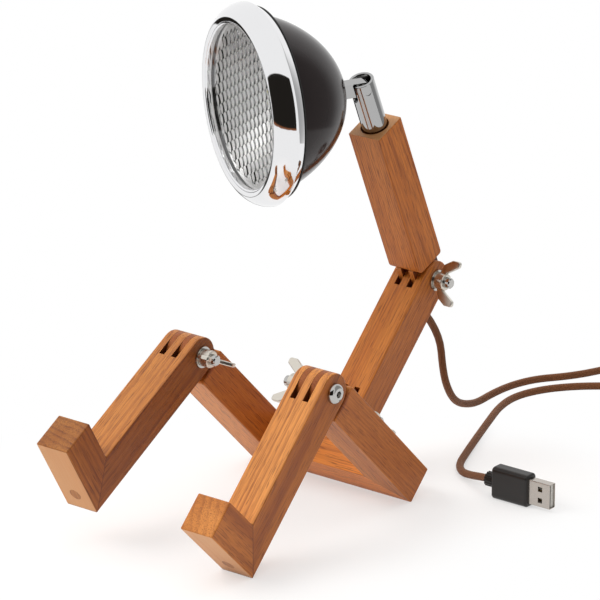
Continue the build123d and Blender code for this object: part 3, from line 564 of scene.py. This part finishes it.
# Stained ash. LIGHT and AMBER alternate in broad bands, DARK is late wood, PALE is the plainer faces.
LIGHT_ASH = (0.70, 0.262, 0.050)
AMBER_ASH = (0.55, 0.178, 0.026)
DARK_ASH = (0.24, 0.056, 0.012)
PORE_ASH = (0.12, 0.028, 0.008)
PALE_ASH = (0.60, 0.295, 0.118)
WOOD_ROUGH = 0.46
WOOD_SPECULAR = 0.38
WOOD_BUMP = (0.2, 0.0002)  # strength and distance
PORE_DEPTH = 0.8

# Along the grain the noise's coordinates are scaled by these, which stretches it. Seeds shift it by metres.
LONG_STRETCH = 0.04
DASH_STRETCH = 0.05
SEED_SHIFT = (0.011, 0.017, 0.013)

# A growth ring's profile, and how far the rings slant and bend
RING_STOPS = ((0.0, 0.0), (0.45, 0.12), (0.80, 1.0), (0.93, 0.9), (1.0, 0.0))
RING_SLANT = 0.02
RING_BEND = 0.006
RING_BEND_SCALE = 70.0

# Noise layers: scale, detail, roughness, then where each one's strength starts and ends
BREAKS = (700.0, 2.0, 0.5, (0.30, 0.35), (0.62, 1.0))
WAVES = (120.0, 1.0, 0.5, (0.35, 0.45), (0.65, 1.0))
FIBRES = (1500.0, 3.0, 0.65, (0.42, 0.0), (0.66, 1.0))
PORES = (2300.0, 1.0, 0.5, (0.60, 0.0), (0.68, 1.0))
BANDS = (60.0, 2.0, 0.5, (0.36, 0.0), (0.64, 1.0))

# Where a mark starts to show and where it shows fully: on faces by how squarely they face a direction, in
# slots by the distance from the bar's middle, at fingers from the pivot and in a mitre from its seam
SIDE_FACES = (0.45, 0.95)
SLOT_FACES = (0.75, 0.95)
PALE_FACES = (0.80, 0.97)
SLOT_WALLS_mm = (8.8, 8.3)
FINGERS_mm = (12.5, 10.5)
MITRE_SEAM_mm = (0.34, 0.136)

# Painted shade on the bars' side faces, which point across the lamp
SIDE_SHADE_TINT = (0.98, 0.83, 0.66)
# Painted shade on the walls inside the bars' slots
SLOT_SHADE = (0.34, 0.27, 0.24)
# Painted shade on a knee's fingers near its pivot
FINGER_PAINTED_SHADE = (0.60, 0.46, 0.40)
MITRE_DARKNESS = 0.75
PALE_LINES = 0.45

# A bar's look: brightness of front faces, painted shade of side faces, direction and spacing (mm) of its
# rings, how strong its lines, fibres and pores are, and a tint. Some bars add: "pale", the direction of the
# faces that get the paler, plainer colour. "middle", where the bar's middle lies across the lamp (mm), for
# the painted shade on its slots' walls. "mitre", the heel's corner and the direction across its seam.
# "fingers", the pivot (mm) round which the fingers get painted shade.
PLAIN_LOOK = {"tone": 1.0, "side": 0.85, "rings": (1.0, 0.5), "spacing": 1.9, "lines": 0.45, "fibres": 0.35,
              "pores": 0.6, "tint": (1.0, 1.0, 1.0)}
PALER = (1.0, 1.10, 1.35)
GOLDEN = (1.0, 0.90, 0.62)
WARMER = (1.0, 0.92, 0.80)


def layer(shader, vector, scale, detail, rough, *stops):
    """Noise that a ramp turns into streaks or spots."""
    return shader.ramp(shader.noise(vector, scale, detail, rough), *stops)


def growth_lines(shader, look, plain, long, dash):
    """Late wood's lines: rings across the bar, broken into dashes and fading in and out."""
    across_x, across_y = look["rings"]
    rings = shader.math("MULTIPLY", shader.part(plain, 0), across_x)
    rings = shader.math("MULTIPLY_ADD", shader.part(plain, 1), across_y, rings)
    rings = shader.math("MULTIPLY_ADD", shader.part(plain, 2), RING_SLANT, rings)
    rings = shader.math("MULTIPLY_ADD", shader.noise(long, RING_BEND_SCALE), RING_BEND, rings)
    rings = shader.math("FRACT", shader.math("DIVIDE", rings, look["spacing"] * MM))
    return shader.product(shader.ramp(rings, *RING_STOPS), layer(shader, dash, *BREAKS),
                          layer(shader, long, *WAVES))


def face_tones(shader, look, colour, late):
    """Brightness and tint of the bar's faces, with painted shade on its side faces and on its slots' walls.
    """
    facing = shader.add("TexCoord").outputs["Normal"]
    sideways = shader.math("ABSOLUTE", shader.part(facing, 0))
    front_tone = tuple(look["tone"] * level for level in look["tint"])
    # The side faces, which point across the lamp, get painted shade instead of the front's tone and tint
    painted_side_shade = tuple(look["side"] * level for level in SIDE_SHADE_TINT)
    tone = shader.mix(shader.step(sideways, *SIDE_FACES), front_tone, painted_side_shade)
    colour = shader.tinted(colour, tone)
    if "pale" in look:
        pale = shader.mix(shader.math("MULTIPLY", late, PALE_LINES), PALE_ASH, AMBER_ASH)
        colour = shader.mix(shader.step(shader.dot(facing, look["pale"]), *PALE_FACES), colour, pale)
    if "middle" in look:
        # Painted shade on the walls inside the bar's slots
        middle = (look["middle"] + START_mm.x) * MM
        aside = shader.math("ABSOLUTE", shader.math("SUBTRACT", shader.part(shader.spot(), 0), middle))
        inside = shader.step(aside, *(level * MM for level in SLOT_WALLS_mm))
        slot = shader.math("MULTIPLY", inside, shader.step(sideways, *SLOT_FACES))
        colour = shader.mix(slot, colour, shader.tinted(colour, SLOT_SHADE))
    return colour


def joint_marks(shader, look, colour):
    """The dark seam of a heel's mitre, and painted shade on a knee's fingers round its pivot."""
    if "mitre" in look:
        corner, across_seam = look["mitre"]
        from_corner = shader.add("VectorMath", {0: shader.spot(), 1: placed(*corner)}, operation="SUBTRACT")
        off_seam = shader.math("ABSOLUTE", shader.dot(from_corner.outputs[0], across_seam))
        seam = shader.step(off_seam, *(level * MM for level in MITRE_SEAM_mm))
        colour = shader.mix(shader.math("MULTIPLY", seam, MITRE_DARKNESS), colour, PORE_ASH)
    if "fingers" in look:
        # Painted shade on the fingers round the knee's pivot, where they sit inside each other
        upright = shader.add("VectorMath", {0: shader.spot(), 1: (0.0, 1.0, 1.0)}, operation="MULTIPLY")
        away = shader.distance(upright.outputs[0], tuple(Vector(look["fingers"]) * MM))
        near = shader.step(away, *(level * MM for level in FINGERS_mm))
        colour = shader.mix(near, colour, shader.tinted(colour, FINGER_PAINTED_SHADE))
    return colour


def wood(name, lean=0.0, across=False, seed=0.0, look=None):
    """Stained ash with its grain along a bar that leans from upright, or runs across the lamp."""
    look = {**PLAIN_LOOK, **(look or {})}
    shader = Shader(name)
    turn = (0, radians(-90), 0) if across else (radians(-lean), 0, 0)
    shift = tuple(level * seed for level in SEED_SHIFT)
    plain = shader.place(turn, (1, 1, 1), shift)
    long = shader.place(turn, (1, 1, LONG_STRETCH), shift)
    dash = shader.place(turn, (1, 1, DASH_STRETCH), shift)
    late = growth_lines(shader, look, plain, long, dash)
    fibres, pores = layer(shader, dash, *FIBRES), layer(shader, dash, *PORES)
    colour = shader.mix(layer(shader, long, *BANDS), LIGHT_ASH, AMBER_ASH)
    colour = shader.mix(shader.math("MULTIPLY", late, look["lines"]), colour, DARK_ASH)
    colour = shader.mix(shader.math("MULTIPLY", fibres, look["fibres"]), colour, DARK_ASH)
    colour = shader.mix(shader.math("MULTIPLY", pores, look["pores"]), colour, PORE_ASH)
    colour = joint_marks(shader, look, face_tones(shader, look, colour, late))
    height = shader.math("MULTIPLY_ADD", pores, -PORE_DEPTH, fibres)
    return shader.set(color=colour, rough=WOOD_ROUGH, specular=WOOD_SPECULAR,
                      normal=shader.bump(height, *WOOD_BUMP))


FINE_BUMP = 0.0001


def metal(name, colour, rough, grain=0.0, scale=900.0, spread=0.08):
    """Bare or plated metal whose roughness wanders a little."""
    shader = Shader(name)
    spots = shader.noise(shader.place(), scale, 3.0)
    level = shader.math("MULTIPLY_ADD", spots, spread, rough - spread / 2)
    shader.set(color=(*colour, 1.0), metal=1.0, rough=level)
    if grain:
        shader.set(normal=shader.bump(spots, grain, FINE_BUMP))
    return shader.material


def plastic(name, colour, rough, grain=0.15, scale=1800.0, darkest=0.7):
    """Moulded plastic or rubber with a fine grain."""
    shader = Shader(name)
    spots = shader.noise(shader.place(), scale)
    darker = tuple(level * darkest for level in colour)
    return shader.set(color=shader.mix(spots, colour, darker), rough=rough,
                      normal=shader.bump(spots, grain, FINE_BUMP))


def lacquer():
    """Glossy brown-black lacquer with a faint orange peel."""
    shader = Shader("dark_lacquer")
    soft = shader.noise(shader.place(), 45.0)
    colour = shader.mix(soft, (0.018, 0.012, 0.012), (0.023, 0.016, 0.016))
    peel = shader.noise(shader.place(), 380.0, 1.0)
    return shader.set(color=colour, rough=0.13, specular=0.24, normal=shader.bump(peel, 0.012, 0.0002))


def textile(strands=9):
    """A braided sleeve: strands that cross on their way round the cord, with fuzz over them."""
    shader = Shader("woven_textile")
    place = shader.add("UVMap", uv_map="UVMap").outputs[0]
    u, v = shader.part(place, 0), shader.part(place, 1)
    left = shader.math("SINE", shader.math("MULTIPLY", shader.math("ADD", v, u), 2 * pi * strands))
    right = shader.math("SINE", shader.math("MULTIPLY", shader.math("SUBTRACT", v, u), 2 * pi * strands))
    level = shader.math("MULTIPLY_ADD", shader.math("MULTIPLY", left, right), 0.5, 0.5)
    fuzz = shader.noise(shader.place(), 2500.0, 3.0)
    colour = shader.mix(level, (0.085, 0.028, 0.008), (0.26, 0.098, 0.033))
    colour = shader.mix(shader.math("MULTIPLY", fuzz, 0.5), colour, (0.16, 0.056, 0.019))
    height = shader.math("MULTIPLY_ADD", fuzz, 0.4, level)
    return shader.set(color=colour, rough=0.85, specular=0.3, sheen=0.12, sheen_rough=0.5,
                      normal=shader.bump(height, 0.6, 0.0003))


def glass(name):
    """Clear glass with faint ripples."""
    shader = Shader(name)
    ripple = shader.noise(shader.place(), 500.0, 1.0)
    return shader.set(color=(0.97, 0.98, 0.98, 1.0), rough=0.02, glass=1.0, ior=1.5,
                      normal=shader.bump(ripple, 0.03, FINE_BUMP))


def phosphor(name, colour, darkest=0.8):
    """The grainy coat of unlit light-emitting dies."""
    shader = Shader(name)
    dots = shader.noise(shader.place(), 900.0, 1.0)
    darker = tuple(level * darkest for level in colour)
    return shader.set(color=shader.mix(dots, colour, darker), rough=0.4)


def finish(material, *names):
    """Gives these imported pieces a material."""
    for name in names:
        owner = NODES[name]
        if owner.material_slots:
            for place in owner.material_slots:
                place.material = material
        else:
            owner.data.materials.append(material)


def sole_way(shin_lean):
    """The direction that a foot's sole faces, down along its shin."""
    return (0.0, sin(radians(shin_lean)), -cos(radians(shin_lean)))


def heel_mitre(heel_mm, shin_lean):
    """A heel's corner, and the direction across its mitre."""
    turn = radians(-shin_lean - FOOT_FROM_SHIN / 2)
    return heel_mm, (0.0, cos(turn), -sin(turn))


LEFT_FOOT_LEAN = LEFT_SHIN_LEAN + FOOT_FROM_SHIN
RIGHT_FOOT_LEAN = RIGHT_SHIN_LEAN + FOOT_FROM_SHIN
LEFT_MITRE = heel_mitre(LEFT_HEEL_mm, LEFT_SHIN_LEAN)
RIGHT_MITRE = heel_mitre(RIGHT_HEEL_mm, RIGHT_SHIN_LEAN)
SOLE_PLUG = {"tone": 0.62, "side": 0.6, "lines": 0.1}
BARS = {
    "torso_bar": (TORSO_LEAN, {"tone": 0.88, "side": 0.86, "spacing": 1.5, "lines": 0.5, "tint": GOLDEN,
                               "middle": 0.0}),
    "hip_tongue": (TORSO_LEAN, {"tone": 0.80, "side": 0.70}),
    "neck_block": (NECK_LEAN, {"tone": 0.97, "side": 1.0, "spacing": 1.3, "lines": 0.75, "tint": WARMER,
                               "pale": tuple(neck_rise()), "middle": 0.0}),
    "left_thigh": (THIGH_LEAN, {"tone": 0.88, "side": 0.85, "rings": (0.5, 1.0), "spacing": 1.7,
                                "middle": LEG_MIDDLE_mm, "fingers": KNEE_PIVOT_mm}),
    "right_thigh": (THIGH_LEAN, {"tone": 0.94, "side": 0.86, "lines": 0.25, "middle": -LEG_MIDDLE_mm,
                                 "fingers": KNEE_PIVOT_mm}),
    "left_shin": (LEFT_SHIN_LEAN, {"tone": 1.12, "side": 0.78, "rings": (1.0, 0.4), "spacing": 3.4,
                                   "lines": 0.8, "tint": PALER, "middle": LEG_MIDDLE_mm,
                                   "mitre": LEFT_MITRE}),
    "right_shin": (RIGHT_SHIN_LEAN, {"tone": 0.95, "side": 0.57, "rings": (0.8, 0.75), "spacing": 3.2,
                                     "lines": 0.7, "tint": PALER, "middle": -LEG_MIDDLE_mm,
                                     "mitre": RIGHT_MITRE}),
    "left_foot": (LEFT_FOOT_LEAN, {"tone": 0.93, "side": 0.81, "rings": (0.9, 0.35), "spacing": 3.8,
                                   "lines": 0.55, "pale": sole_way(LEFT_SHIN_LEAN), "mitre": LEFT_MITRE}),
    "right_foot": (RIGHT_FOOT_LEAN, {"tone": 0.58, "side": 0.62, "rings": (0.15, 1.0), "spacing": 3.0,
                                     "lines": 0.85, "pale": sole_way(RIGHT_SHIN_LEAN), "mitre": RIGHT_MITRE}),
    "left_sole_plug": (LEFT_FOOT_LEAN, SOLE_PLUG),
    "right_sole_plug": (RIGHT_FOOT_LEAN, SOLE_PLUG),
}
for number, (bar, (lean, look)) in enumerate(BARS.items()):
    finish(wood("ash_" + bar, lean=lean, seed=number + 1.0, look=look), bar)
PELVIS_ASH = wood("ash_pelvis", across=True, seed=20.0, look={"tone": 1.32})
finish(PELVIS_ASH, "pelvis_bar", "left_mitre_dowel", "right_mitre_dowel")

# Metals
BOLTS = metal("bolt_chrome", (0.50, 0.49, 0.47), 0.12, 0.05)
NICKEL = metal("nickel_plate", (0.70, 0.655, 0.58), 0.30, 0.1)
STEEL = metal("zinc_steel", (0.62, 0.62, 0.60), 0.35, 0.1)
for joint in ("hip", "neck", "left_knee", "right_knee"):
    finish(BOLTS, joint + "_bolt", joint + "_washer")
    finish(NICKEL, joint + "_wing_nut")
finish(STEEL, "left_heel_screw", "right_heel_screw", "bracket_washer", "bracket_nut", "tilt_spacers",
       "post_clip")
finish(metal("post_chrome", (0.42, 0.42, 0.42), 0.06), "post_tube", "tilt_pin", "head_bracket")
finish(metal("usb_plating", (0.50, 0.46, 0.42), 0.22, 0.05), "plug_shell")
finish(metal("gold_contacts", (0.85, 0.62, 0.25), 0.25), "plug_contacts")
finish(metal("reflector_mirror", (0.86, 0.835, 0.825), 0.50), "reflector")
finish(metal("sink_aluminium", (0.55, 0.56, 0.57), 0.4, 0.2), "heat_sink")
BEZEL.data.materials.append(metal("polished_chrome", (0.82, 0.82, 0.83), 0.045))

# Plastics, rubber and light parts
BLACK = plastic("black_moulding", (0.012, 0.011, 0.010), 0.45)
finish(BLACK, "post_bush", "lens_gasket")
# The black ring is painted shade in the seam behind the bezel
SEAM_SHADE_RING.data.materials.append(BLACK)
finish(plastic("gland_rubber", (0.03, 0.016, 0.01), 0.6), "cord_gland", "torso_lead", "neck_lead")
finish(plastic("tie_strap", (0.02, 0.02, 0.02), 0.5), "cord_tie")
finish(plastic("plug_moulding", (0.011, 0.008, 0.0065), 0.38, 0.3, 2600.0), "plug_collar", "plug_overmould")
finish(plastic("usb_white", (0.75, 0.74, 0.70), 0.4), "plug_tongue")
finish(plastic("circuit_board", (0.75, 0.77, 0.74), 0.4), "led_board", "driver_board")
finish(phosphor("led_phosphor", (0.80, 0.68, 0.30)), "led_chip")
BOWL.data.materials.append(lacquer())
LENS.data.materials.append(glass("lens_glass"))
CORD.data.materials.append(textile())


# Stage and lights. Azimuths run from straight ahead of the lamp (-Y) toward +X, heights from the horizon up.

WHITE = (1.0, 1.0, 1.0)
BACKGROUND_RAYS = ("Is Camera Ray", "Is Transmission Ray", "Is Glossy Ray")

# The floor's edge as (azimuth, reach), and round patches of it (centre, reach) that keep the lamp's shadow
FLOOR_REACH_mm = ((-180, 900), (-150, 400), (-140, 300), (-115, 300), (-89, 300), (-84, 900), (-32, 900),
                  (-30, 700), (-4, 700), (22, 700), (48, 700), (75, 700), (110, 600), (150, 440), (179, 440))
FLOOR_SHADES_mm = (((0.0, -60.0), 150.0), ((20.0, 15.0), 112.0), ((64.0, 80.0), 80.0))
FLOOR_COLOURS = ((0.94, 0.92, 0.91), (0.96, 0.94, 0.93))
SHADE_CORE = 0.35  # the part of a patch's reach that is shaded fully
FLOOR_LIFT = 0.5  # how white the floor is there

# A dark opening in front of the lamp with a brown ledge, and a dark corner low at the left, by their edges
EDGE_SOFT = 1.2
OPENING_SIDES = (-32.0, 72.0)
OPENING_LOW = -17.0
OPENING_TOP = 43.0
OPENING_FACES = 45.0  # the azimuth at which its straight top edge is nearest
OPENING_COLOUR = (0.016, 0.014, 0.012)
LEDGE_TOP = -14.0
LEDGE_COLOUR = (0.24, 0.09, 0.04)
GLOOM_SIDES = (-142.0, -90.0)
GLOOM_LOW = -60.0
GLOOM_TOP = -14.0

# Walls, a soft box at the left, a grey wall at the right, the ceiling and the ground. Each pair of angles is
# where the thing starts to show and where it shows fully.
WALLS = (0.80, 0.80, 0.80)
SOFTBOX = (1.50, 1.46, 1.41)
SOFTBOX_SIDES = ((-165.0, -110.0), (-20.0, -50.0))
SOFTBOX_TOP = (85.0, 55.0)
RIGHT_WALL = (0.40, 0.40, 0.40)
RIGHT_WALL_SIDES = ((88.0, 104.0), (175.0, 150.0))
RIGHT_WALL_TOP = (70.0, 45.0)
CEILING = (1.32, 1.29, 1.26)
CEILING_FROM = (48.0, 54.0)
GROUND = (0.50, 0.50, 0.51)
GROUND_FROM = (0.0, -3.0)

KEY_PLACE = Vector((-1.2, -1.1, 1.6))
KEY_AIM = Vector((0.0, 0.0, 0.1))
KEY_SIZE = 1.4
KEY_POWER = 25.0


def make_floor():
    """A pale sheet that fades to white away from the lamp and its cord."""
    form = bmesh.new()
    edge = [(radians(azimuth), reach * MM) for azimuth, reach in FLOOR_REACH_mm]
    form.faces.new([form.verts.new((reach * sin(way), -reach * cos(way), 0.0)) for way, reach in edge])
    floor = link_mesh("floor", form_to_mesh("floor", form), smooth=False)
    shader = Shader("pale_floor")
    faint = shader.noise(shader.place(), 3.0)
    shader.set(color=shader.mix(faint, *FLOOR_COLOURS), rough=0.9, specular=0.1)
    whiteness = 1.0
    for (x, y), reach in FLOOR_SHADES_mm:
        away = shader.distance(shader.spot(), (x * MM, y * MM, 0.0))
        fading = shader.step(away, reach * MM * SHADE_CORE, reach * MM)
        whiteness = shader.math("MULTIPLY", fading, whiteness)
    amount = shader.math("MULTIPLY_ADD", whiteness, 1.0 - FLOOR_LIFT, FLOOR_LIFT)
    amount = shader.math("MULTIPLY", amount, shader.rays(*BACKGROUND_RAYS))
    white = shader.add("Emission", {"Color": (*WHITE, 1.0), "Strength": 1.0}).outputs[0]
    both = shader.add("MixShader", {0: amount, 1: shader.surface.outputs[0], 2: white}).outputs[0]
    shader.put(shader.tree.nodes["Material Output"].inputs["Surface"], both)
    floor.data.materials.append(shader.material)


def make_key_light():
    """A soft lamp from the left, in front and above."""
    data = bpy.data.lights.new("key", "AREA")
    data.shape = "RECTANGLE"
    data.size = KEY_SIZE
    data.size_y = KEY_SIZE
    data.energy = KEY_POWER
    lamp = bpy.data.objects.new("key", data)
    SCENE.collection.objects.link(lamp)
    lamp.location = KEY_PLACE
    lamp.visible_glossy = False
    lamp.rotation_euler = (KEY_AIM - KEY_PLACE).to_track_quat("-Z", "Y").to_euler()


def make_world():
    """White to camera, transmission and glossy rays, and a pale studio to diffuse ones.

    Glossy and diffuse rays also meet the dark opening with its ledge, the dark corner and the right wall.
    """
    world = bpy.data.worlds.new("studio")
    SCENE.world = world
    world.use_nodes = True
    nodes = Nodes(world.node_tree)
    way = nodes.add("TexCoord").outputs["Generated"]
    azimuth = nodes.math("ARCTAN2", nodes.part(way, 0), nodes.math("MULTIPLY", nodes.part(way, 1), -1.0))
    height = nodes.math("ARCSINE", nodes.part(way, 2))
    soft = radians(EDGE_SOFT)

    def fade(angle, ends):
        """0 up to the first of these two angles and 1 past the second."""
        return nodes.step(angle, radians(ends[0]), radians(ends[1]))

    def panel(sides, top):
        """A panel with soft sides, from its top down."""
        return nodes.product(fade(azimuth, sides[0]), fade(azimuth, sides[1]), fade(height, top))

    def patch(sides, low, high):
        """1 within these azimuths and heights and 0 outside. The upper height may change with the azimuth."""
        left, right = radians(sides[0]), radians(sides[1])
        return nodes.product(nodes.step(azimuth, left - soft, left), nodes.step(azimuth, right + soft, right),
                             nodes.step(height, radians(low) - soft, radians(low)),
                             nodes.step(nodes.math("SUBTRACT", height, high), soft, 0.0))

    studio = nodes.mix(panel(SOFTBOX_SIDES, SOFTBOX_TOP), WALLS, SOFTBOX)
    studio = nodes.mix(fade(height, CEILING_FROM), studio, CEILING)
    studio = nodes.mix(fade(height, GROUND_FROM), studio, GROUND)
    seen = nodes.mix(nodes.rays(*BACKGROUND_RAYS), studio, WHITE)
    facing = nodes.math("COSINE", nodes.math("SUBTRACT", azimuth, radians(OPENING_FACES)))
    top = nodes.math("ARCTANGENT", nodes.math("MULTIPLY", facing, tan(radians(OPENING_TOP))))
    off_camera = nodes.math("SUBTRACT", 1.0, nodes.rays("Is Camera Ray", "Is Transmission Ray"))
    features = ((panel(RIGHT_WALL_SIDES, RIGHT_WALL_TOP), RIGHT_WALL),
                (patch(OPENING_SIDES, OPENING_LOW, top), OPENING_COLOUR),
                (patch(OPENING_SIDES, OPENING_LOW, radians(LEDGE_TOP)), LEDGE_COLOUR),
                (patch(GLOOM_SIDES, GLOOM_LOW, radians(GLOOM_TOP)), OPENING_COLOUR))
    for there, colour in features:
        seen = nodes.mix(nodes.math("MULTIPLY", there, off_camera), seen, colour)
    nodes.put(world.node_tree.nodes["Background"].inputs["Color"], seen)


make_floor()
make_world()
make_key_light()
SCENE.view_settings.view_transform = "Standard"
